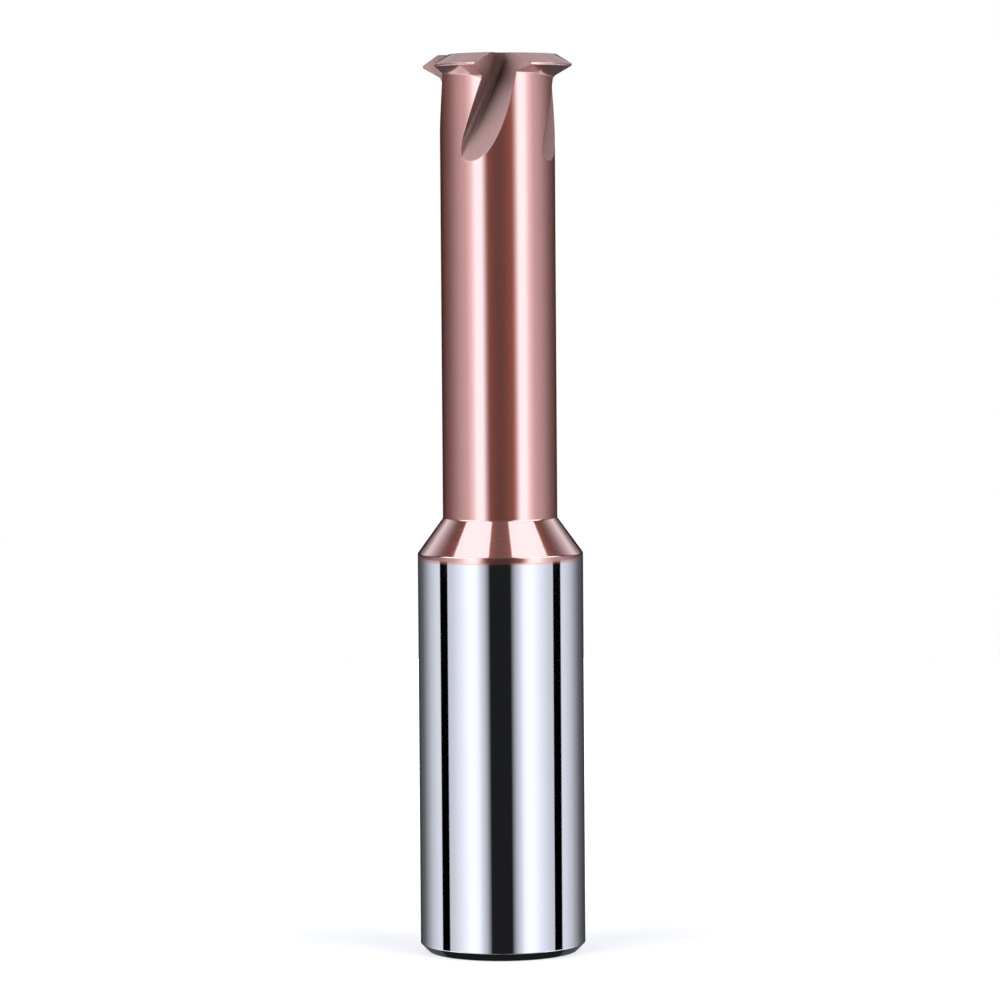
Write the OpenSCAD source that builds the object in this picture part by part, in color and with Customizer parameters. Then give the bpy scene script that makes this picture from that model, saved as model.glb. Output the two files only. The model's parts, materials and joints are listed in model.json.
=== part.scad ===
// Thread mill with one ring of V-shaped teeth, ground from one rod of solid carbide.
// Millimetres. The flat end of the shank stands on z = 0 and the teeth are at the top.

/* [Shank] */
// Diameter of the shank
shank_d = 12; // [11:0.5:16]
// Length of the shank, from its flat end to the foot of the cone
shank_len = 29; // [20:0.5:60]
// Width and height of the chamfer round the flat end
end_chamfer = 0.6; // [0.2:0.05:1.5]
// Radius that breaks the edge between shank and cone
edge_r = 0.2; // [0.1:0.05:0.4]

/* [Neck] */
// Diameter of the neck
neck_d = 8.3; // [7.5:0.1:9]
// Reach of the tool, from the foot of the cone to its top face
reach = 36; // [26:0.5:60]
// Angle between the cone's side and the axis
cone_angle = 36; // [20:1:60]
// Fillet where the neck runs into the cone
neck_fillet = 0.2; // [0.2:0.1:1]

/* [Teeth] */
// Number of teeth, each with a flute in front of it
teeth = 4; // [3:1:5]
// Diameter over the tips of the teeth
cut_d = 11.2; // [10:0.1:13]
// Angle between the two flanks of a tooth
form_angle = 55; // [50:1:70]
// Width of the flat on the crest of a tooth
crest_flat = 0.15; // [0.1:0.05:0.4]
// Angle at which a tooth falls away behind its cutting edge
relief_angle = 7.5; // [4:0.5:12]
// Fillet between the lower flank of a tooth and the neck
root_fillet = 0.4; // [0.1:0.05:0.5]
// Turn of the first cutting edge about the axis
edge_turn = -106.3; // [-180:0.1:180]

/* [Flutes] */
// Lean of the flutes from the axis, for a right-hand cutter
helix_angle = 20; // [0:1:25]
// Rake of the cutting face, negative where the face leans forward towards the axis
rake_angle = -18; // [-20:1:6]
// Depth of a flute below the surface of the neck, level with the tips of the teeth
flute_depth = 1.4; // [0.8:0.05:1.6]
// Radius of the grinding wheel, which shapes the run-out
wheel_r = 40; // [25:1:50]
// Radius on the corner of the grinding wheel
wheel_corner_r = 0.5; // [0.2:0.1:1.2]
// Height of the wheel's centre above the tips of the teeth, along the flute
wheel_lift = 5.8; // [2:0.1:9]

/* [Finish] */
// Length of shank that the coating covers below the cone
coat_overlap = 0.5; // [0.2:0.1:2]

/* [Hidden] */
$fn = 240;
shank_r = shank_d / 2;
neck_r = neck_d / 2;
cut_r = cut_d / 2;
overall_len = shank_len + reach;
cone_top = shank_len + (shank_r - neck_r) / tan(cone_angle);
coat_z = shank_len - coat_overlap;
flank_rise = tan(form_angle / 2);
head_h = crest_flat + 2 * (cut_r - neck_r) * flank_rise;
tip_z = overall_len - head_h / 2;
pitch_turn = 360 / teeth;
// A tooth is turned about a centre set to one side of the tool's axis, so it falls away behind its edge.
relief_shift = cut_r * tan(relief_angle);
relief_r = cut_r / cos(relief_angle);
root_r = sqrt(pow(neck_r, 2) + pow(relief_shift, 2));
// How far a tooth's blank reaches in front of its cutting edge, into the flute.
lead_turn = 15;
// How far it reaches back inside the blank of the next tooth.
heel_lap = 4;
// The wheel is wide enough to clear the back of the tooth ahead.
wheel_w = cut_r;
bright_carbide = "#d9dce4";
coated_carbide = "#b98880";

function polar(r, turn) = [r * cos(turn), r * sin(turn)];

// Half section of the shank up to the edge of the coating.
module shank_section() {
    polygon([
        [0, 0],
        [shank_r - end_chamfer, 0],
        [shank_r, end_chamfer],
        [shank_r, coat_z],
        [0, coat_z]
    ]);
}

// Half section of the coated shank end, cone and neck, with its edge broken and its corner filleted.
module neck_section() {
    turn = cone_angle / 2;
    edge_run = edge_r * tan(turn);
    fillet_run = neck_fillet * tan(turn);
    slope = [sin(cone_angle), -cos(cone_angle)];
    edge_corner = [shank_r, shank_len];
    fillet_corner = [neck_r, cone_top];
    edge_centre = [shank_r - edge_r, shank_len - edge_run];
    fillet_centre = [neck_r + neck_fillet, cone_top + fillet_run];
    difference() {
        polygon([
            [0, coat_z],
            [shank_r, coat_z],
            edge_corner,
            fillet_corner + fillet_run * slope,
            fillet_centre,
            [neck_r, cone_top + fillet_run],
            [neck_r, tip_z],
            [0, tip_z]
        ]);
        translate(fillet_centre) circle(neck_fillet);
        difference() {
            polygon([
                edge_centre,
                [shank_r, shank_len - edge_run],
                edge_corner + [edge_r, 0],
                edge_corner + [0, edge_r],
                edge_corner - edge_run * slope
            ]);
            translate(edge_centre) circle(edge_r);
        }
    }
}

// Half section of the ring from which one tooth is taken, with the fillet at its root.
module tooth_section() {
    half_form = form_angle / 2;
    low_tip = tip_z - crest_flat / 2;
    high_tip = tip_z + crest_flat / 2;
    fillet_r = root_r + root_fillet;
    fillet_z = low_tip - (relief_r - fillet_r) * flank_rise - root_fillet / cos(half_form);
    difference() {
        polygon([
            [0, fillet_z],
            [fillet_r, fillet_z],
            [fillet_r, fillet_z] + root_fillet * [-sin(half_form), cos(half_form)],
            [relief_r, low_tip],
            [relief_r, high_tip],
            [relief_r - (overall_len - high_tip) / flank_rise, overall_len],
            [0, overall_len]
        ]);
        translate([fillet_r, fillet_z]) circle(root_fillet);
    }
}

// One tooth with its tip on the X axis: the sector of its ring that lies behind the cutting edge.
module tooth() {
    far = 2 * cut_r;
    intersection() {
        translate([0, relief_shift, 0]) rotate_extrude() tooth_section();
        translate([0, 0, tip_z - head_h]) linear_extrude(2 * head_h)
            polygon([
                [0, 0],
                polar(far, lead_turn - pitch_turn - heel_lap),
                polar(far, lead_turn - pitch_turn / 2),
                polar(far, lead_turn)
            ]);
    }
}

// The grinding wheel that cuts a flute: a flat side, a rounded corner and a straight rim.
module wheel() {
    rotate_extrude() {
        square([wheel_r - wheel_corner_r, wheel_w]);
        translate([0, wheel_corner_r]) square([wheel_r, wheel_w - wheel_corner_r]);
        translate([wheel_r - wheel_corner_r, wheel_corner_r]) circle(wheel_corner_r);
    }
}

// The wheel in place, with its flat side on the cutting face of the tooth on the X axis.
module flute() {
    floor_drop = cut_r - neck_r + flute_depth;
    wheel_out = sqrt(pow(wheel_r, 2) - pow(wheel_lift, 2)) - floor_drop;
    translate([cut_r, 0, tip_z])
        rotate(rake_angle)
        rotate([-90 - helix_angle, 0, 0])
        translate([wheel_out, -wheel_lift, 0])
            wheel();
}

// The whole tool: bright shank below, coated cone, neck and head above.
module thread_mill() {
    color(bright_carbide) rotate_extrude() shank_section();
    color(coated_carbide) difference() {
        union() {
            rotate_extrude() neck_section();
            for (i = [0 : teeth - 1]) rotate(edge_turn + i * pitch_turn) tooth();
        }
        for (i = [0 : teeth - 1]) rotate(edge_turn + i * pitch_turn) flute();
    }
}

thread_mill();
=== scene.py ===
"""Looks of a single-profile thread mill: a bright shank, a coated cone and neck, and a head of V teeth.

The tool is turned and ground by Geometry Nodes from two outlines: the half section of the blank, whose
head falls away behind each cutting edge, and the half section of the wheel that grinds the flutes.
"""

import json
import math

import bmesh
import bpy
from mathutils import Euler, Matrix, Vector


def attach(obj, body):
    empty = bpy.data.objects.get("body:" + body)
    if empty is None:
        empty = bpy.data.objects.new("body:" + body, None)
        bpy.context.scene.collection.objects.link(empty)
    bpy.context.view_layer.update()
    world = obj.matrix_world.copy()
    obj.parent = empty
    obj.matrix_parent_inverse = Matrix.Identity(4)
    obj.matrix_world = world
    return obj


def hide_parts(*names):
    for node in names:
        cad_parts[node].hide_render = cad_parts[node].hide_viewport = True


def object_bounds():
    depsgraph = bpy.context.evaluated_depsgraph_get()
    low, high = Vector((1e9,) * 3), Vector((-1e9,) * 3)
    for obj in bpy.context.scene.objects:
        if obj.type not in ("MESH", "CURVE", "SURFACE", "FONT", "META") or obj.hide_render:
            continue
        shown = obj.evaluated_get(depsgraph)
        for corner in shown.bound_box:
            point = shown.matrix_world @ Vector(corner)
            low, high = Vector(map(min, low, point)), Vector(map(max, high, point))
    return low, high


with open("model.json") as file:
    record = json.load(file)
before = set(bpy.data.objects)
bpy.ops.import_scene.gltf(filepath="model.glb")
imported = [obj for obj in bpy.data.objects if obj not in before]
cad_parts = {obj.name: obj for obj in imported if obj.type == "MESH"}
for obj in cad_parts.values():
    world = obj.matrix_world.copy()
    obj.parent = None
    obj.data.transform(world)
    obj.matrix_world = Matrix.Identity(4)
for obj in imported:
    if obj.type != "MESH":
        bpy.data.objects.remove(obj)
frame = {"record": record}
CAD_BOX = [list(corner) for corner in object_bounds()]

bl_info = {
    "name": "Thread mill",
    "version": (1, 0, 0),
    "blender": (4, 5, 0),
    "location": "3D View > Sidebar > Thread mill",
    "description": "Turns, grinds, coats and stages a single-profile thread mill",
    "category": "Object",
}

MM = 0.001
NODE = "thread_mill"
MOUNTS = {mount["name"]: mount for mount in frame["record"]["mounts"]}
SHANK_RADIUS = MOUNTS["shank"]["dims"]["r_mm"] * MM
OVERALL_LENGTH = CAD_BOX[1][2]
# Fineness of the meshes: steps in an arc, rows up a tooth's flank, and steps round what is turned.
ARC_STEPS = 8
FINE_ARC_STEPS = 16
FLANK_ROWS = 32
TOOL_SEGMENTS = 576
WHEEL_SEGMENTS = 480
FLOOR_SEGMENTS = 128
TENT_SEGMENTS, TENT_RINGS = 64, 32
WELD_DISTANCE = 1e-4 * MM
SHARP_ANGLE = math.radians(24)
# Marks of the grinding wheels, drawn coarser than they are: how far apart, and how long on each surface.
MARK_PITCH = 0.12 * MM
SHANK_MARK = 50 * MM
NECK_MARK = 33 * MM
FLUTE_MARK = 6 * MM
# How far the marks spread the roughness to either side of its mean.
SHANK_SPREAD = 0.1
COATED_SPREAD = 0.15
# The hard coating bends light far more than a lacquer does, so its own gloss is strong.
FILM_IOR = 3.0
HONE_SAMPLES = 6
# Openness of a flute's surface in its bend and on its open floor, and the samples that measure it. The
# painted bend shade is full at the first and gone at the second.
BEND_OPENNESS, FLOOR_OPENNESS = 0.68, 0.97
OPENNESS_SAMPLES = 8
# Cosine between a face and the way round the axis, where it starts to be a cutting face and where it is one.
FACE_START, FACE_FULL = 0.55, 0.85
# Share of the floor's radius within which its glow is at its lowest.
FLOOR_NEAR = 1 / 8
FLOOR_ROUGHNESS = 0.9
WHITE = (1.0, 1.0, 1.0, 1.0)


def from_hex(code):
    """Linear RGBA of an sRGB hex colour."""
    channels = [int(code[i:i + 2], 16) / 255 for i in (1, 3, 5)]
    return [c / 12.92 if c <= 0.04045 else ((c + 0.055) / 1.055) ** 2.4 for c in channels] + [1.0]


def length(name, description, millimetres):
    """A length property, given in millimetres and kept in metres."""
    return bpy.props.FloatProperty(
        name=name, description=description, default=millimetres * MM, min=0.0, precision=5,
        subtype="DISTANCE", unit="LENGTH")


def angle(name, description, degrees):
    """An angle property, given in degrees and kept in radians."""
    return bpy.props.FloatProperty(
        name=name, description=description, default=math.radians(degrees), subtype="ANGLE", unit="ROTATION")


def colour(name, description, code):
    """A colour property, given as an sRGB hex value and kept linear."""
    return bpy.props.FloatVectorProperty(
        name=name, description=description, default=from_hex(code), size=4, min=0.0, max=1.0, subtype="COLOR")


def number(name, description, value):
    """A plain number property."""
    return bpy.props.FloatProperty(name=name, description=description, default=value, min=0.0)


class ToolSizes(bpy.types.PropertyGroup):
    """Sizes of the ground tool, as in the part's source."""

    shank_length: length("Shank length", "From the flat end to the foot of the cone", 29)
    end_chamfer: length("End chamfer", "Width and height of the chamfer round the flat end", 0.6)
    chamfer_break: length("Chamfer break", "Break on the two edges of the end chamfer", 0.06)
    edge_radius: length("Edge radius", "Break on the edge between shank and cone", 0.2)
    neck_diameter: length("Neck diameter", "Diameter of the neck", 8.3)
    cone_angle: angle("Cone angle", "Between the cone's side and the axis", 36)
    neck_fillet: length("Neck fillet", "Where the neck runs into the cone", 0.2)
    teeth: bpy.props.IntProperty(
        name="Teeth", description="Number of teeth, each with a flute in front of it",
        default=4, min=3, max=5)
    cut_diameter: length("Cutting diameter", "Over the tips of the teeth", 11.2)
    form_angle: angle("Form angle", "Between the two flanks of a tooth", 55)
    crest_flat: length("Crest flat", "Width of the flat on a tooth's crest", 0.15)
    relief_angle: angle("Relief angle", "How a tooth falls away behind its edge", 7.5)
    lead_turn: angle("Lead turn", "How far a tooth's blank reaches in front of its edge", 15)
    root_fillet: length("Root fillet", "Between a tooth's lower flank and the neck", 0.4)
    edge_turn: angle("Edge turn", "Of the first cutting edge about the axis", -106.3)
    helix_angle: angle("Helix angle", "Lean of the flutes from the axis", 20)
    rake_angle: angle("Rake angle", "Of the cutting face, negative where it leans forward", -18)
    flute_depth: length("Flute depth", "Below the neck's surface, level with the tips", 1.4)
    wheel_radius: length("Wheel radius", "Of the grinding wheel, which shapes the run-out", 40)
    wheel_corner: length("Wheel corner", "Radius on the corner of the grinding wheel", 0.5)
    wheel_lift: length("Wheel lift", "Of the wheel's centre above the tips, along the flute", 5.8)
    coat_overlap: length("Coating overlap", "Length of shank that the coating covers", 0.5)


class Finishes(bpy.types.PropertyGroup):
    """Colours and gloss of the three finishes."""

    carbide: colour("Bright carbide", "Ground carbide of the shank", "#aaacb1")
    carbide_roughness: number("Shank roughness", "Of the fine-ground shank", 0.045)
    coating: colour("Coating", "Copper tone of the coating", "#994a37")
    coating_roughness: number("Coating roughness", "Of the ground metal under the coating", 0.44)
    cone_roughness: number("Cone roughness", "Of the finer-ground metal of the cone", 0.28)
    film_roughness: number("Film roughness", "Of the coating's own clear surface", 0.05)
    flute_coating: colour("Flute coating", "Duller tone of the coating in the flutes", "#8a5f58")
    flute_roughness: number("Flute roughness", "Of the ground metal in the flutes", 0.68)
    flute_film_roughness: number("Flute film roughness", "Of the coating's surface in the flutes", 0.5)
    edge_hone: length("Edge hone", "Radius that breaks the coated edges", 0.08)
    # Painted shade: a near-black brown laid into the colour of a flute's bend, where it is hemmed in, and how
    # far it spreads.
    bend_shade_colour: colour("Painted bend shade", "Painted shade in the bend of a flute", "#2e1b1a")
    bend_reach: length("Bend reach", "How far the painted bend shade spreads", 2.6)
    cutting_face: number("Cutting face", "Share of the flute's open tone on the cutting face", 0.75)
    flute_film: number("Flute film", "Share of the film's clear gloss in the flutes", 0.3)


class Studio(bpy.types.PropertyGroup):
    """Camera, light and floor."""

    camera_distance: length("Camera distance", "From the tool's axis to the camera", 322.7)
    camera_height: length("Camera height", "Of the camera above the shank's end", 51.26)
    camera_pitch: angle("Camera pitch", "How far the camera looks down", 3.27)
    camera_roll: angle("Camera roll", "Lean of the picture", -0.41)
    camera_view: angle("Camera view", "Width of the camera's view", 12.8)
    light: number("Light", "Strength of a tent panel whose share is 1", 2.6)
    light_colour: colour("Light colour", "Daylight white of the tent", "#f6f7ff")
    tent_radius: length("Tent radius", "Of the light tent round the tool", 1000)
    floor_radius: length("Floor radius", "Of the pale floor under the tool", 230)
    floor_glow: number("Floor glow", "Light of the floor's own that the camera sees", 0.36)
    floor_colour: colour("Floor colour", "Of the pale floor", "#cdcdcd")


def add(tree, kind, inputs=(), **settings):
    """Adds a node with its settings. An input takes a socket, a node's first output or a plain value."""
    node = tree.nodes.new(kind)
    for name, value in settings.items():
        setattr(node, name, value)
    for key, value in inputs.items() if isinstance(inputs, dict) else enumerate(inputs):
        if isinstance(value, bpy.types.Node):
            value = value.outputs[0]
        if isinstance(value, bpy.types.NodeSocket):
            tree.links.new(value, node.inputs[key])
        else:
            node.inputs[key].default_value = value
    return node


def geometry_tree(name, inputs):
    """An empty Geometry Nodes tree with the named inputs: the tree, its input sockets and its output."""
    tree = bpy.data.node_groups.new(name, "GeometryNodeTree")
    tree.interface.new_socket("Geometry", in_out="OUTPUT", socket_type="NodeSocketGeometry")
    for label, kind in inputs.items():
        tree.interface.new_socket(label, in_out="INPUT", socket_type="NodeSocket" + kind)
    return tree, tree.nodes.new("NodeGroupInput").outputs, tree.nodes.new("NodeGroupOutput").inputs[0]


def rounded(corners, steps):
    """Points along an outline. Each corner is (radius, height, fillet), and a fillet becomes an arc."""
    points = []
    for i, (r, z, fillet) in enumerate(corners):
        corner = Vector((r, z))
        if not fillet:
            points.append(corner)
            continue
        back = (Vector(corners[i - 1][:2]) - corner).normalized()
        ahead = (Vector(corners[i + 1][:2]) - corner).normalized()
        half = back.angle(ahead) / 2
        run = fillet / math.tan(half)
        centre = corner + (back + ahead).normalized() * fillet / math.sin(half)
        start, end = corner + back * run - centre, corner + ahead * run - centre
        turn = math.atan2(start.x * end.y - start.y * end.x, start.dot(end))
        points += [centre + Matrix.Rotation(turn * k / steps, 2) @ start for k in range(steps + 1)]
    return points


def outline_object(name, points, relieved=()):
    """A wire mesh along an outline in the XZ plane, with its relieved points marked."""
    mesh = bpy.data.meshes.new(name)
    mesh.from_pydata([(r, 0, z) for r, z in points], [(i, i + 1) for i in range(len(points) - 1)], [])
    marks = mesh.attributes.new("relief", "FLOAT", "POINT")
    marks.data.foreach_set("value", [float(i in relieved) for i in range(len(points))])
    shape = bpy.data.objects.new(name, mesh)
    bpy.context.scene.collection.objects.link(shape)
    return shape


def tip_height(sizes):
    """Height of the middle of the tooth tips."""
    rise = (sizes.cut_diameter - sizes.neck_diameter) / 2 * math.tan(sizes.form_angle / 2)
    return OVERALL_LENGTH - rise - sizes.crest_flat / 2


def cone_height(sizes):
    """Height of the corner where the cone meets the neck."""
    return sizes.shank_length + (SHANK_RADIUS - sizes.neck_diameter / 2) / math.tan(sizes.cone_angle)


def blank_outline(sizes):
    """Half section of the blank at a cutting edge, and the numbers of its points with relief behind it."""
    neck, tip = sizes.neck_diameter / 2, sizes.cut_diameter / 2
    rise = (tip - neck) * math.tan(sizes.form_angle / 2)
    low_tip = tip_height(sizes) - sizes.crest_flat / 2
    below_head = rounded([
        (0, 0, 0),
        (SHANK_RADIUS - sizes.end_chamfer, 0, sizes.chamfer_break),
        (SHANK_RADIUS, sizes.end_chamfer, sizes.chamfer_break),
        (SHANK_RADIUS, sizes.shank_length - sizes.coat_overlap, 0),
        (SHANK_RADIUS, sizes.shank_length, sizes.edge_radius),
        (neck, cone_height(sizes), sizes.neck_fillet),
        (neck, low_tip - 2 * rise, 0),
    ], ARC_STEPS)
    root = rounded([
        (neck, low_tip - 2 * rise, 0),
        (neck, low_tip - rise, sizes.root_fillet),
        (tip, low_tip, 0),
    ], FINE_ARC_STEPS)[1:-1]
    flank = [root[-1].lerp(Vector((tip, low_tip)), k / FLANK_ROWS) for k in range(1, FLANK_ROWS + 1)]
    crown = [
        Vector((tip, low_tip + sizes.crest_flat)),
        Vector((neck, OVERALL_LENGTH)),
        Vector((0, OVERALL_LENGTH)),
    ]
    points = below_head + root + flank + crown
    return points, range(len(below_head), len(points) - 1)


def wheel_outline(sizes):
    """Half section of the grinding wheel: flat side, rounded corner and straight rim."""
    width = sizes.cut_diameter / 2
    return rounded([
        (0, 0, 0),
        (sizes.wheel_radius, 0, sizes.wheel_corner),
        (sizes.wheel_radius, width, 0),
        (0, width, 0),
    ], FINE_ARC_STEPS)


def turned_tree():
    """Tree that turns an outline about the Z axis, with eccentric relief on its marked points."""
    tree, sizes, result = geometry_tree("Turned about the axis", {
        "Outline": "Geometry", "Segments": "Int", "Relief shift": "Float", "Least radius": "Float",
        "Tip height": "Float", "Edge turn": "Float", "Pitch turn": "Float", "Lead turn": "Float",
    })
    rows = add(tree, "GeometryNodeAttributeDomainSize", [sizes["Outline"]])
    columns = add(tree, "FunctionNodeIntegerMath", [sizes["Segments"], 1], operation="ADD")
    grid = add(tree, "GeometryNodeMeshGrid", {"Vertices X": columns, "Vertices Y": rows})
    index = add(tree, "GeometryNodeInputIndex")
    row = add(tree, "FunctionNodeIntegerMath", [index, rows], operation="MODULO")
    column = add(tree, "FunctionNodeIntegerMath", [index, rows], operation="DIVIDE")
    place = add(tree, "GeometryNodeInputPosition")
    mark = add(tree, "GeometryNodeInputNamedAttribute", ["relief"], data_type="FLOAT")
    point = add(tree, "GeometryNodeSampleIndex", {"Geometry": sizes["Outline"], "Value": place, "Index": row},
                data_type="FLOAT_VECTOR")
    relief = add(tree, "GeometryNodeSampleIndex", {"Geometry": sizes["Outline"], "Value": mark, "Index": row},
                 data_type="FLOAT")
    edge = add(tree, "ShaderNodeSeparateXYZ", [point]).outputs
    share = add(tree, "ShaderNodeMath", [column, sizes["Segments"]], operation="DIVIDE")
    turn = add(tree, "ShaderNodeMath", [share, 2 * math.pi], operation="MULTIPLY")
    # Angle from a cutting edge, from most of a pitch behind it to a little in front.
    behind = add(tree, "ShaderNodeMath", [sizes["Lead turn"], sizes["Pitch turn"]], operation="SUBTRACT")
    past_edge = add(tree, "ShaderNodeMath", [turn, sizes["Edge turn"]], operation="SUBTRACT")
    ahead = add(tree, "ShaderNodeMath", [past_edge, sizes["Lead turn"], behind], operation="WRAP")
    # Round a centre beside the axis, the radius is q + sqrt(edge radius squared + q squared).
    sine = add(tree, "ShaderNodeMath", [ahead], operation="SINE")
    shift = add(tree, "ShaderNodeMath", [sizes["Relief shift"], relief], operation="MULTIPLY")
    q = add(tree, "ShaderNodeMath", [sine, shift], operation="MULTIPLY")
    q_squared = add(tree, "ShaderNodeMath", [q, q], operation="MULTIPLY")
    squares = add(tree, "ShaderNodeMath", [edge["X"], edge["X"], q_squared], operation="MULTIPLY_ADD")
    root = add(tree, "ShaderNodeMath", [squares], operation="SQRT")
    relieved = add(tree, "ShaderNodeMath", [root, q], operation="ADD")
    # Below the tips the neck stands in the tooth, so a relieved point never sinks under its surface.
    low = add(tree, "ShaderNodeMath", [edge["Z"], sizes["Tip height"]], operation="LESS_THAN")
    held = add(tree, "ShaderNodeMath", [low, relief], operation="MULTIPLY")
    least = add(tree, "ShaderNodeMath", [held, sizes["Least radius"]], operation="MULTIPLY")
    radius = add(tree, "ShaderNodeMath", [relieved, least], operation="MAXIMUM")
    x = add(tree, "ShaderNodeMath", [radius, add(tree, "ShaderNodeMath", [turn], operation="COSINE")],
            operation="MULTIPLY")
    y = add(tree, "ShaderNodeMath", [radius, add(tree, "ShaderNodeMath", [turn], operation="SINE")],
            operation="MULTIPLY")
    spot = add(tree, "ShaderNodeCombineXYZ", [x, y, edge["Z"]])
    shaped = add(tree, "GeometryNodeSetPosition", {"Geometry": grid, "Position": spot})
    closed = add(tree, "GeometryNodeMergeByDistance", {"Geometry": shaped, "Distance": WELD_DISTANCE})
    tree.links.new(closed.outputs[0], result)
    return tree


def ground_tree(turned):
    """Tree that turns the blank, grinds one flute in front of each tooth and coats the result."""
    tree, sizes, result = geometry_tree("Ground thread mill", {
        "Outline": "Geometry", "Wheel outline": "Object", "Segments": "Int", "Wheel segments": "Int",
        "Teeth": "Int", "Relief shift": "Float", "Neck radius": "Float", "Tip radius": "Float",
        "Tip height": "Float", "Edge turn": "Float", "Pitch turn": "Float", "Lead turn": "Float",
        "Wheel out": "Float", "Wheel drop": "Float", "Wheel turn": "Float", "Rake angle": "Float",
        "Coating foot": "Float", "Sharp angle": "Float",
        "Bright carbide": "Material", "Coated carbide": "Material", "Coated flute": "Material",
    })
    blank = add(tree, "GeometryNodeGroup", {
        "Outline": sizes["Outline"], "Segments": sizes["Segments"], "Relief shift": sizes["Relief shift"],
        "Least radius": sizes["Neck radius"], "Tip height": sizes["Tip height"],
        "Edge turn": sizes["Edge turn"], "Pitch turn": sizes["Pitch turn"], "Lead turn": sizes["Lead turn"],
    }, node_tree=turned)
    blank = add(tree, "GeometryNodeStoreNamedAttribute", {"Geometry": blank, "Name": "fluted", "Value": 0.0},
                data_type="FLOAT", domain="FACE")
    wheel_wire = add(tree, "GeometryNodeObjectInfo", [sizes["Wheel outline"]])
    # The wheel has no relief, so its pitch turn only has to differ from zero.
    wheel = add(tree, "GeometryNodeGroup", {
        "Outline": wheel_wire.outputs["Geometry"], "Segments": sizes["Wheel segments"], "Pitch turn": 1.0,
    }, node_tree=turned)
    wheel = add(tree, "GeometryNodeStoreNamedAttribute", {"Geometry": wheel, "Name": "fluted", "Value": 1.0},
                data_type="FLOAT", domain="FACE")
    # The wheel's flat side is laid on the cutting face of the tooth at no turn.
    centre = add(tree, "ShaderNodeCombineXYZ", [sizes["Wheel out"], sizes["Wheel drop"], 0.0])
    lean = add(tree, "ShaderNodeCombineXYZ", [sizes["Wheel turn"], 0.0, sizes["Rake angle"]])
    tip = add(tree, "ShaderNodeCombineXYZ", [sizes["Tip radius"], 0.0, sizes["Tip height"]])
    wheel = add(tree, "GeometryNodeTransform", {"Geometry": wheel, "Translation": centre})
    wheel = add(tree, "GeometryNodeTransform", {
        "Geometry": wheel, "Translation": tip, "Rotation": add(tree, "FunctionNodeEulerToRotation", [lean])})
    wheel_number = add(tree, "GeometryNodeInputIndex")
    round_turn = add(tree, "ShaderNodeMath", [wheel_number, sizes["Pitch turn"], sizes["Edge turn"]],
                     operation="MULTIPLY_ADD")
    turns = add(tree, "FunctionNodeEulerToRotation", [add(tree, "ShaderNodeCombineXYZ", {"Z": round_turn})])
    places = add(tree, "GeometryNodePoints", {"Count": sizes["Teeth"]})
    wheels = add(tree, "GeometryNodeInstanceOnPoints",
                 {"Points": places, "Instance": wheel, "Rotation": turns})
    cut = add(tree, "GeometryNodeMeshBoolean", {"Mesh 1": blank, "Mesh 2": wheels},
              operation="DIFFERENCE", solver="MANIFOLD")
    clean = add(tree, "GeometryNodeMergeByDistance", {"Geometry": cut, "Distance": WELD_DISTANCE})
    smooth = add(tree, "GeometryNodeSetShadeSmooth", {"Geometry": clean, "Shade Smooth": True}, domain="FACE")
    bend = add(tree, "GeometryNodeInputMeshEdgeAngle").outputs["Unsigned Angle"]
    bent = add(tree, "FunctionNodeCompare", [bend, sizes["Sharp angle"]], operation="GREATER_THAN")
    # An edge between a flute and the blank has one fluted face, so its share is a half. It is kept crisp too.
    fluted = add(tree, "GeometryNodeInputNamedAttribute", ["fluted"], data_type="FLOAT")
    rim = add(tree, "FunctionNodeCompare", {"A": fluted, "B": 0.5, "Epsilon": 0.25}, operation="EQUAL")
    sharp = add(tree, "FunctionNodeBooleanMath", [bent, rim], operation="OR")
    creased = add(tree, "GeometryNodeSetShadeSmooth",
                  {"Geometry": smooth, "Selection": sharp, "Shade Smooth": False}, domain="EDGE")
    plain = add(tree, "GeometryNodeRealizeInstances", [creased])
    height = add(tree, "ShaderNodeSeparateXYZ", [add(tree, "GeometryNodeInputPosition")]).outputs["Z"]
    bare = add(tree, "FunctionNodeCompare", [height, sizes["Coating foot"]], operation="LESS_THAN")
    coated = add(tree, "GeometryNodeSetMaterial", {"Geometry": plain, "Material": sizes["Coated carbide"]})
    coated = add(tree, "GeometryNodeSetMaterial", {
        "Geometry": coated, "Material": sizes["Coated flute"],
        "Selection": add(tree, "FunctionNodeCompare", [fluted, 0.5], operation="GREATER_THAN")})
    coated = add(tree, "GeometryNodeSetMaterial", {
        "Geometry": coated, "Selection": bare, "Material": sizes["Bright carbide"]})
    tree.links.new(coated.outputs[0], result)
    return tree


def new_material(name):
    """A new material: itself, its tree and its main shader."""
    material = bpy.data.materials.new(name)
    material.use_nodes = True
    return material, material.node_tree, material.node_tree.nodes["Principled BSDF"]


def bright_carbide(finish):
    """Solid carbide, centreless ground and lapped bright.

    The eye sees a cool grey mirror that shows the tent's panels and gaps as clean upright stripes, with
    fine rings round the shank. The rings are drawn at 0.12 mm, coarser than the wheel's own grit marks.
    """
    material, tree, shader = new_material("Bright ground carbide")
    place = add(tree, "ShaderNodeTexCoord").outputs["Object"]
    rings = add(tree, "ShaderNodeMapping", {
        "Vector": place, "Scale": (1 / SHANK_MARK, 1 / SHANK_MARK, 1 / MARK_PITCH)})
    marks = add(tree, "ShaderNodeTexNoise", {"Vector": rings, "Scale": 1.0, "Detail": 3.0})
    gloss = add(tree, "ShaderNodeMapRange", {
        "Value": marks, "To Min": (1 - SHANK_SPREAD) * finish.carbide_roughness,
        "To Max": (1 + SHANK_SPREAD) * finish.carbide_roughness})
    shader.inputs["Base Color"].default_value = finish.carbide
    shader.inputs["Metallic"].default_value = 1.0
    tree.links.new(gloss.outputs[0], shader.inputs["Roughness"])
    return material


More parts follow.
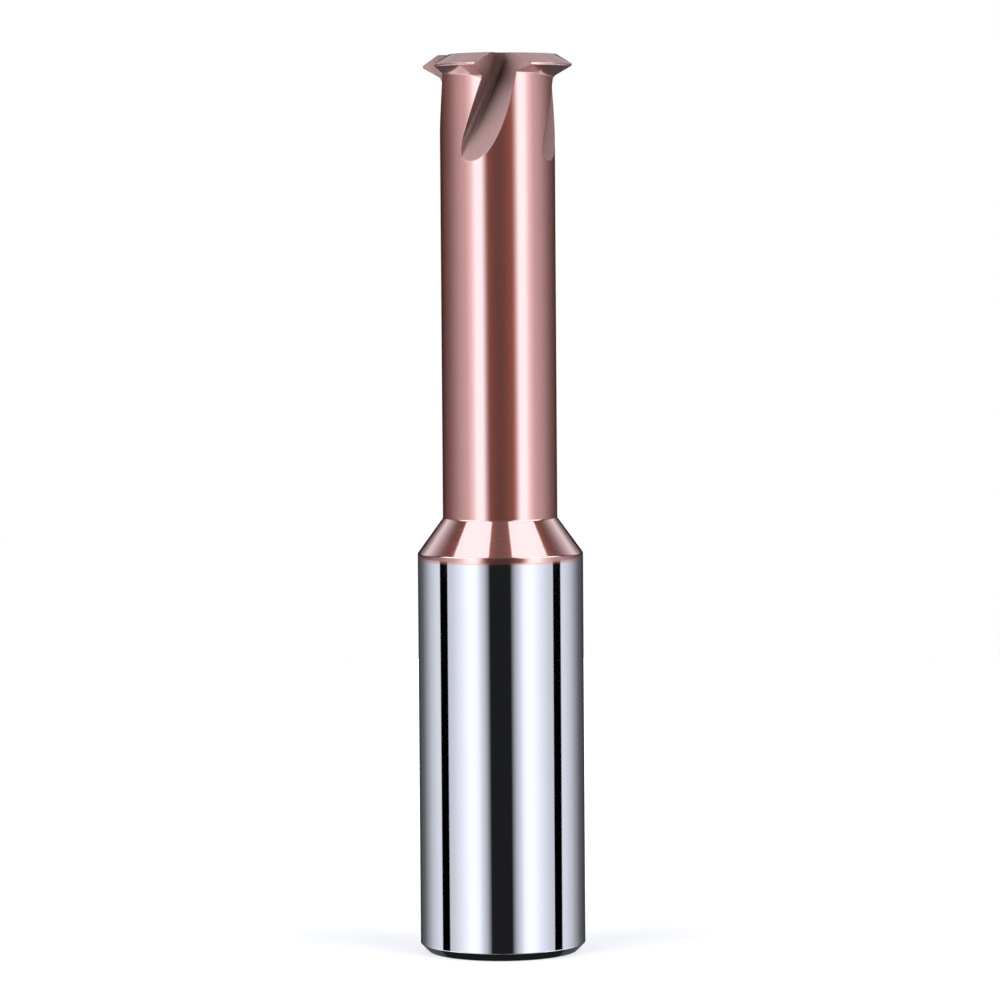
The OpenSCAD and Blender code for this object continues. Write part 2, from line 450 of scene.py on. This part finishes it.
def coated_carbide(finish, cone_top):
    """Fine-ground carbide under a copper-coloured hard coating, laid on in vacuum and very thin.

    The eye sees a satin copper-brown metal, and over it the film's own clear gloss, so that the lights
    turn pale pink and the darks stay brown. The grinding rings are drawn at 0.12 mm, coarser than they are.
    """
    material, tree, shader = new_material("Coated ground carbide")
    place = add(tree, "ShaderNodeTexCoord").outputs["Object"]
    rings = add(tree, "ShaderNodeMapping", {
        "Vector": place, "Scale": (1 / NECK_MARK, 1 / NECK_MARK, 1 / MARK_PITCH)})
    marks = add(tree, "ShaderNodeTexNoise", {"Vector": rings, "Scale": 1.0, "Detail": 4.0})
    spread = add(tree, "ShaderNodeMapRange", {
        "Value": marks, "To Min": 1 - COATED_SPREAD, "To Max": 1 + COATED_SPREAD})
    # The cone is ground by itself, finer than the neck, so its stripes are crisper.
    height = add(tree, "ShaderNodeSeparateXYZ", [place]).outputs["Z"]
    on_cone = add(tree, "ShaderNodeMath", [height, cone_top], operation="LESS_THAN")
    ground = add(tree, "ShaderNodeMix", {0: on_cone, 2: finish.coating_roughness, 3: finish.cone_roughness})
    gloss = add(tree, "ShaderNodeMath", [ground, spread], operation="MULTIPLY")
    # Honed edges catch the light as fine pale lines. The hone is drawn a little wider than it is.
    honed = add(tree, "ShaderNodeBevel", {"Radius": finish.edge_hone}, samples=HONE_SAMPLES)
    shader.inputs["Base Color"].default_value = finish.coating
    shader.inputs["Metallic"].default_value = 1.0
    shader.inputs["Coat Weight"].default_value = 1.0
    shader.inputs["Coat Roughness"].default_value = finish.film_roughness
    shader.inputs["Coat IOR"].default_value = FILM_IOR
    tree.links.new(gloss.outputs[0], shader.inputs["Roughness"])
    for normal in ("Normal", "Coat Normal"):
        tree.links.new(honed.outputs[0], shader.inputs[normal])
    return material


def fluted_carbide(finish):
    """The same coating on the flutes, which are left as the coarser flute wheel ground them.

    The eye sees a dull mauve-brown. Painted shade darkens it towards a near-black brown in the bend between
    the cutting face and the floor, as far as that rough surface is hemmed in, and thins the film's gloss
    there.
    The wheel's scratches along the flute are drawn at 0.12 mm, coarser than they are.
    """
    material, tree, shader = new_material("Coated flute-ground carbide")
    spot = add(tree, "ShaderNodeTexCoord").outputs
    scratches = add(tree, "ShaderNodeMapping", {
        "Vector": spot["Object"], "Scale": (1 / MARK_PITCH, 1 / MARK_PITCH, 1 / FLUTE_MARK)})
    marks = add(tree, "ShaderNodeTexNoise", {"Vector": scratches, "Scale": 1.0, "Detail": 4.0})
    gloss = add(tree, "ShaderNodeMapRange", {
        "Value": marks, "To Min": (1 - COATED_SPREAD) * finish.flute_roughness,
        "To Max": (1 + COATED_SPREAD) * finish.flute_roughness})
    # Painted shade: where ambient occlusion finds the flute hemmed in, its colour is darkened towards the
    # bend shade and its film is thinned.
    openness = add(tree, "ShaderNodeAmbientOcclusion", {"Distance": finish.bend_reach},
                   samples=OPENNESS_SAMPLES)
    share = add(tree, "ShaderNodeMapRange", {
        "Value": openness.outputs["AO"], "From Min": BEND_OPENNESS, "From Max": FLOOR_OPENNESS})
    # On the cutting face, which looks round the axis, the painted bend shade is held back, so it keeps more
    # of the flute's open tone.
    across = add(tree, "ShaderNodeVectorMath", [(0.0, 0.0, 1.0), spot["Object"]], operation="CROSS_PRODUCT")
    around = add(tree, "ShaderNodeVectorMath", [across], operation="NORMALIZE")
    facing = add(tree, "ShaderNodeVectorMath", [spot["Normal"], around], operation="DOT_PRODUCT")
    face = add(tree, "ShaderNodeMapRange", {
        "Value": facing.outputs["Value"], "From Min": FACE_START, "From Max": FACE_FULL,
        "To Max": finish.cutting_face})
    share = add(tree, "ShaderNodeMath", [share, face], operation="MAXIMUM")
    film = add(tree, "ShaderNodeMath", [share, finish.flute_film], operation="MULTIPLY")
    tone = add(tree, "ShaderNodeMix", {0: share, 6: finish.bend_shade_colour, 7: finish.flute_coating},
               data_type="RGBA")
    honed = add(tree, "ShaderNodeBevel", {"Radius": finish.edge_hone}, samples=HONE_SAMPLES)
    shader.inputs["Metallic"].default_value = 1.0
    shader.inputs["Coat Roughness"].default_value = finish.flute_film_roughness
    shader.inputs["Coat IOR"].default_value = FILM_IOR
    tree.links.new(tone.outputs[2], shader.inputs["Base Color"])
    tree.links.new(film.outputs[0], shader.inputs["Coat Weight"])
    tree.links.new(gloss.outputs[0], shader.inputs["Roughness"])
    for normal in ("Normal", "Coat Normal"):
        tree.links.new(honed.outputs[0], shader.inputs[normal])
    return material


def plain_mesh(shape):
    """The evaluated shape's mesh, free of its modifiers."""
    graph = bpy.context.evaluated_depsgraph_get()
    return bpy.data.meshes.new_from_object(
        shape.evaluated_get(graph), preserve_all_data_layers=True, depsgraph=graph)


class THREADMILL_OT_tool(bpy.types.Operator):
    """Turn the blank, relieve its teeth, grind its flutes and coat it"""

    bl_idname = "threadmill.tool"
    bl_label = "Grind the tool"

    def execute(self, context):
        sizes, finish = context.scene.threadmill_sizes, context.scene.threadmill_finishes
        tip = sizes.cut_diameter / 2
        floor_drop = (sizes.cut_diameter - sizes.neck_diameter) / 2 + sizes.flute_depth
        blank = outline_object("blank outline", *blank_outline(sizes))
        wheel = outline_object("wheel outline", wheel_outline(sizes))
        tree = ground_tree(turned_tree())
        values = {
            "Wheel outline": wheel,
            "Segments": TOOL_SEGMENTS,
            "Wheel segments": WHEEL_SEGMENTS,
            "Teeth": sizes.teeth,
            "Relief shift": tip * math.tan(sizes.relief_angle),
            "Neck radius": sizes.neck_diameter / 2,
            "Tip radius": tip,
            "Tip height": tip_height(sizes),
            "Edge turn": sizes.edge_turn,
            "Pitch turn": 2 * math.pi / sizes.teeth,
            "Lead turn": sizes.lead_turn,
            "Wheel out": math.sqrt(sizes.wheel_radius ** 2 - sizes.wheel_lift ** 2) - floor_drop,
            "Wheel drop": -sizes.wheel_lift,
            "Wheel turn": -math.pi / 2 - sizes.helix_angle,
            "Rake angle": sizes.rake_angle,
            "Coating foot": sizes.shank_length - sizes.coat_overlap,
            "Sharp angle": SHARP_ANGLE,
            "Bright carbide": bright_carbide(finish),
            "Coated carbide": coated_carbide(finish, cone_height(sizes)),
            "Coated flute": fluted_carbide(finish),
        }
        grinding = blank.modifiers.new("Grinding", "NODES")
        grinding.node_group = tree
        for item in tree.interface.items_tree:
            if item.in_out == "INPUT" and item.name in values:
                grinding[item.identifier] = values[item.name]
        mesh = plain_mesh(blank)
        for outline in (blank, wheel):
            bpy.data.objects.remove(outline)
        if not mesh.polygons:
            raise RuntimeError("the grinding left no mesh")
        # The nodes leave a slot with no material beside the three finishes.
        while None in mesh.materials[:]:
            mesh.materials.pop(index=mesh.materials[:].index(None))
        tool = bpy.data.objects.new("thread_mill_ground", mesh)
        context.scene.collection.objects.link(tool)
        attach(tool, "root")
        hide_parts(NODE)
        return {"FINISHED"}


def upper_tier(level):
    """Stops of a tier above the tool: a gap at the lens, a panel on either side, a gap and the rear cloth."""
    return ((0, 0.08), (26, 0.08), (28, level), (94, level), (95, 0.05), (107, 0.05), (114, 0.12),
            (125, 0.35), (138, 0.45), (150, 0.36), (165, 0.3))


# Light of the tent's tiers, from the lowest up: (degrees from the lens, share of a panel's light).
TENT_TIERS = (
    ((0, 0.1), (30, 0.4), (110, 0.4), (120, 0.01)),
    ((0, 0.1), (30, 0.5), (110, 0.5), (122, 0.01), (150, 0.01), (160, 0.06)),
    ((0, 0.02), (24, 0.02), (32, 0.35), (58, 0.35), (66, 1.9), (86, 1.9), (96, 1.2), (126, 1.2), (134, 0.05)),
    ((0, 0.012), (14, 0.012), (17, 0.2), (21, 0.44), (26.7, 0.66), (32, 0.92), (38, 1.02), (44, 1.02),
     (50, 0.92), (56, 0.82), (63, 0.71), (70, 0.6), (78.1, 0.54), (78.6, 0.0), (92.4, 0.0), (92.9, 0.68),
     (100, 0.66), (113, 0.5), (124, 0.29), (138, 0.1), (158, 0.03)),
    ((0, 0.04), (23.5, 0.04), (28.5, 0.28), (31.5, 0.62), (38, 1.25), (49, 1.3), (60, 0.72), (72, 0.41),
     (83, 0.35), (94, 0.27), (106, 0.17), (120, 0.08), (140, 0.03), (160, 0.0)),
    ((0, 0.06), (25, 0.06), (27, 0.55), (95, 0.55), (96, 0.0), (107, 0.0), (115, 0.12), (125, 0.35),
     (138, 0.65), (150, 0.15), (162, 0.03)),
    ((0, 0.06), (25, 0.06), (27, 1.25), (45, 2.6), (80, 2.6), (95, 1.25), (96, 0.0), (107, 0.0), (115, 0.12),
     (125, 0.35), (138, 0.65), (150, 0.25), (162, 0.25)),
    upper_tier(0.3),
    upper_tier(1.2),
    upper_tier(0.2),
)
# Elevations, in degrees, at which one tier meets the next, and the turn of each tier about the tool.
TIER_EDGES = (-65.0, -42.0, -17.0, -3.7, 10.0, 20.0, 36.0, 48.0, 71.0)
TIER_TURNS = (0.0, 0.0, 0.0, -0.8, 4.4, 0.0, 0.0, 0.0, 0.0, 0.0)


def tent_light(studio):
    """White tent cloth lit from outside, in tiers of panels from below the tool to above it.

    Each tier has its own dark gaps, at the lens and where its front and rear panels meet. The eye sees
    them as the dark stripes in the shank, the neck and the cone.
    """
    material, tree, shader = new_material("Lit tent cloth")
    tree.nodes.remove(shader)
    place = add(tree, "ShaderNodeTexCoord").outputs["Object"]
    direction = add(tree, "ShaderNodeVectorMath", [place], operation="NORMALIZE")
    x, y, z = add(tree, "ShaderNodeSeparateXYZ", [direction]).outputs
    ahead = add(tree, "ShaderNodeMath", [y, -1.0], operation="MULTIPLY")
    azimuth = add(tree, "ShaderNodeMath", [x, ahead], operation="ARCTAN2")
    share = add(tree, "ShaderNodeMath", [azimuth, math.pi], operation="DIVIDE")
    light = 0.0
    for stops, turn, foot in zip(TENT_TIERS, TIER_TURNS, (-90.0, *TIER_EDGES)):
        turned = add(tree, "ShaderNodeMath", [share, turn / 180], operation="SUBTRACT")
        aside = add(tree, "ShaderNodeMath", [turned], operation="ABSOLUTE")
        tier = add(tree, "ShaderNodeValToRGB", [aside])
        marks = tier.color_ramp.elements
        marks.remove(marks[-1])
        for i, (degrees, level) in enumerate(stops):
            mark = marks.new(degrees / 180) if i else marks[0]
            mark.position = degrees / 180
            mark.color = (level, level, level, 1.0)
        above = add(tree, "ShaderNodeMath", [z, math.sin(math.radians(foot))], operation="GREATER_THAN")
        light = add(tree, "ShaderNodeMix", {0: above, 2: light, 3: tier}, data_type="FLOAT")
    strength = add(tree, "ShaderNodeMath", [light, studio.light], operation="MULTIPLY")
    glow = add(tree, "ShaderNodeEmission", {"Color": studio.light_colour, "Strength": strength})
    tree.links.new(glow.outputs[0], tree.nodes["Material Output"].inputs["Surface"])
    return material


def shown_rays(tree):
    """Socket that is 1 for the rays that show the stage: to the lens, in a mirror and through a glass."""
    ray = add(tree, "ShaderNodeLightPath").outputs
    seen = add(tree, "ShaderNodeMath", [ray["Is Camera Ray"], ray["Is Glossy Ray"]], operation="MAXIMUM")
    return add(tree, "ShaderNodeMath", [seen, ray["Is Transmission Ray"]], operation="MAXIMUM").outputs[0]


def floor_sheet(studio):
    """Matt white acrylic sheet, faintly lit from below. The eye sees plain white and the tool's shadow."""
    material, tree, shader = new_material("Lit white acrylic")
    # Away from the tool the glow rises to full white, so that the sheet has no edge against the backdrop.
    place = add(tree, "ShaderNodeTexCoord").outputs["Object"]
    away = add(tree, "ShaderNodeVectorMath", [place], operation="LENGTH").outputs["Value"]
    lit = add(tree, "ShaderNodeMapRange", {
        "Value": away, "From Min": FLOOR_NEAR * studio.floor_radius, "From Max": studio.floor_radius,
        "To Min": studio.floor_glow, "To Max": 1.0})
    shader.inputs["Base Color"].default_value = studio.floor_colour
    shader.inputs["Roughness"].default_value = FLOOR_ROUGHNESS
    shader.inputs["Specular IOR Level"].default_value = 0.0
    shader.inputs["Emission Color"].default_value = WHITE
    glow = add(tree, "ShaderNodeMath", [shown_rays(tree), lit], operation="MULTIPLY")
    tree.links.new(glow.outputs[0], shader.inputs["Emission Strength"])
    return material


def stage_object(name, shape, material):
    """Links a shape as an object of the stage, which isn't part of the tool."""
    mesh = bpy.data.meshes.new(name)
    shape.to_mesh(mesh)
    shape.free()
    mesh.materials.append(material)
    part = bpy.data.objects.new(name, mesh)
    bpy.context.scene.collection.objects.link(part)
    return part


def white_backdrop():
    """A world that shows plain white. The tent stands between it and the tool, so it gives no light."""
    world = bpy.data.worlds.new("White backdrop")
    world.use_nodes = True
    backdrop = world.node_tree.nodes["Background"]
    backdrop.inputs["Color"].default_value = WHITE
    world.node_tree.links.new(shown_rays(world.node_tree), backdrop.inputs["Strength"])
    return world


def photo_camera(studio):
    """Camera in front of the tool, a little above its middle and looking slightly down."""
    lens = bpy.data.cameras.new("camera")
    lens.angle = studio.camera_view
    camera = bpy.data.objects.new("camera", lens)
    bpy.context.scene.collection.objects.link(camera)
    tilt = Euler((math.pi / 2 - studio.camera_pitch, 0, 0)).to_matrix()
    roll = Euler((0, 0, studio.camera_roll)).to_matrix()
    place = Matrix.Translation((0, -studio.camera_distance, studio.camera_height))
    camera.matrix_world = place @ (tilt @ roll).to_4x4()
    return camera


class THREADMILL_OT_stage(bpy.types.Operator):
    """Set up the floor, the light tent and the camera"""

    bl_idname = "threadmill.stage"
    bl_label = "Set the stage"

    def execute(self, context):
        scene, studio = context.scene, context.scene.threadmill_studio
        shape = bmesh.new()
        bmesh.ops.create_circle(shape, cap_ends=True, segments=FLOOR_SEGMENTS, radius=studio.floor_radius)
        floor = stage_object("floor", shape, floor_sheet(studio))
        floor.visible_glossy = False
        shape = bmesh.new()
        bmesh.ops.create_uvsphere(
            shape, u_segments=TENT_SEGMENTS, v_segments=TENT_RINGS, radius=studio.tent_radius)
        tent = stage_object("tent", shape, tent_light(studio))
        tent.location.z = OVERALL_LENGTH / 2
        tent.visible_camera = False
        scene.world = white_backdrop()
        scene.camera = photo_camera(studio)
        scene.view_settings.view_transform = "Standard"
        return {"FINISHED"}


class THREADMILL_PT_panel(bpy.types.Panel):
    """Sizes, finishes and studio of the thread mill"""

    bl_idname = "THREADMILL_PT_panel"
    bl_label = "Thread mill"
    bl_space_type = "VIEW_3D"
    bl_region_type = "UI"
    bl_category = "Thread mill"

    def draw(self, context):
        for settings in (context.scene.threadmill_sizes, context.scene.threadmill_finishes,
                         context.scene.threadmill_studio):
            box = self.layout.box()
            for name in settings.bl_rna.properties.keys():
                if name not in ("rna_type", "name"):
                    box.prop(settings, name)
        for operator in OPERATORS:
            self.layout.operator(operator.bl_idname)


OPERATORS = (THREADMILL_OT_tool, THREADMILL_OT_stage)
SETTINGS = {"threadmill_sizes": ToolSizes, "threadmill_finishes": Finishes, "threadmill_studio": Studio}


def register():
    for kind in (*SETTINGS.values(), *OPERATORS, THREADMILL_PT_panel):
        bpy.utils.register_class(kind)
    for name, kind in SETTINGS.items():
        setattr(bpy.types.Scene, name, bpy.props.PointerProperty(type=kind))


def unregister():
    for name in SETTINGS:
        delattr(bpy.types.Scene, name)
    for kind in (THREADMILL_PT_panel, *reversed(OPERATORS), *SETTINGS.values()):
        bpy.utils.unregister_class(kind)


def main():
    register()
    bpy.ops.threadmill.tool()
    bpy.ops.threadmill.stage()


if __name__ == "__main__":
    main()
